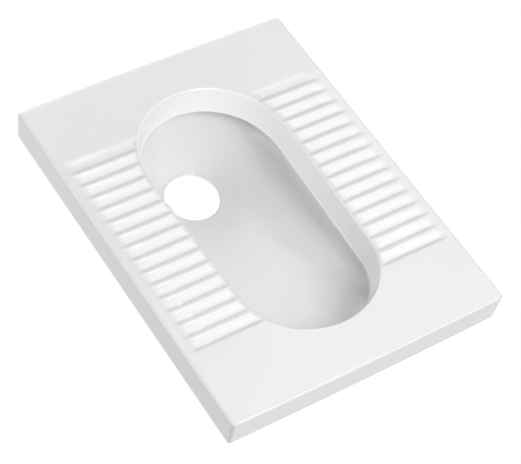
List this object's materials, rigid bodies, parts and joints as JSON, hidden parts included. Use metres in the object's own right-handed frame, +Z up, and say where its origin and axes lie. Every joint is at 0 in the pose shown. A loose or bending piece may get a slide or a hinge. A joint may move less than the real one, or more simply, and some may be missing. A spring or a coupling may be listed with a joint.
{
  "type": "squat toilet",
  "caption": "Floor-set squat toilet pan of glazed vitreous china: rectangular deck with ribbed foot treads, long rounded bowl and a round bottom outlet",
  "frame": {"origin": "under the middle of the deck, level with the lower end of the outlet spigot", "axes": "+Z up, +Y along the deck towards the outlet end, +X to the right when facing the outlet end"},
  "size_m": [0.43, 0.56, 0.2035],
  "materials": {
    "glazed_china": "glossy white glaze",
    "seal_rubber": "matte black rubber"
  },
  "bodies": {
    "root": {"deck": "glazed_china", "flushing_rim": "glazed_china", "bowl": "glazed_china", "outlet_spigot": "glazed_china", "inlet_horn": "glazed_china", "side_webs": "glazed_china", "inlet_seal": "seal_rubber", "outlet_seal": "seal_rubber"}
  },
  "joints": []
}
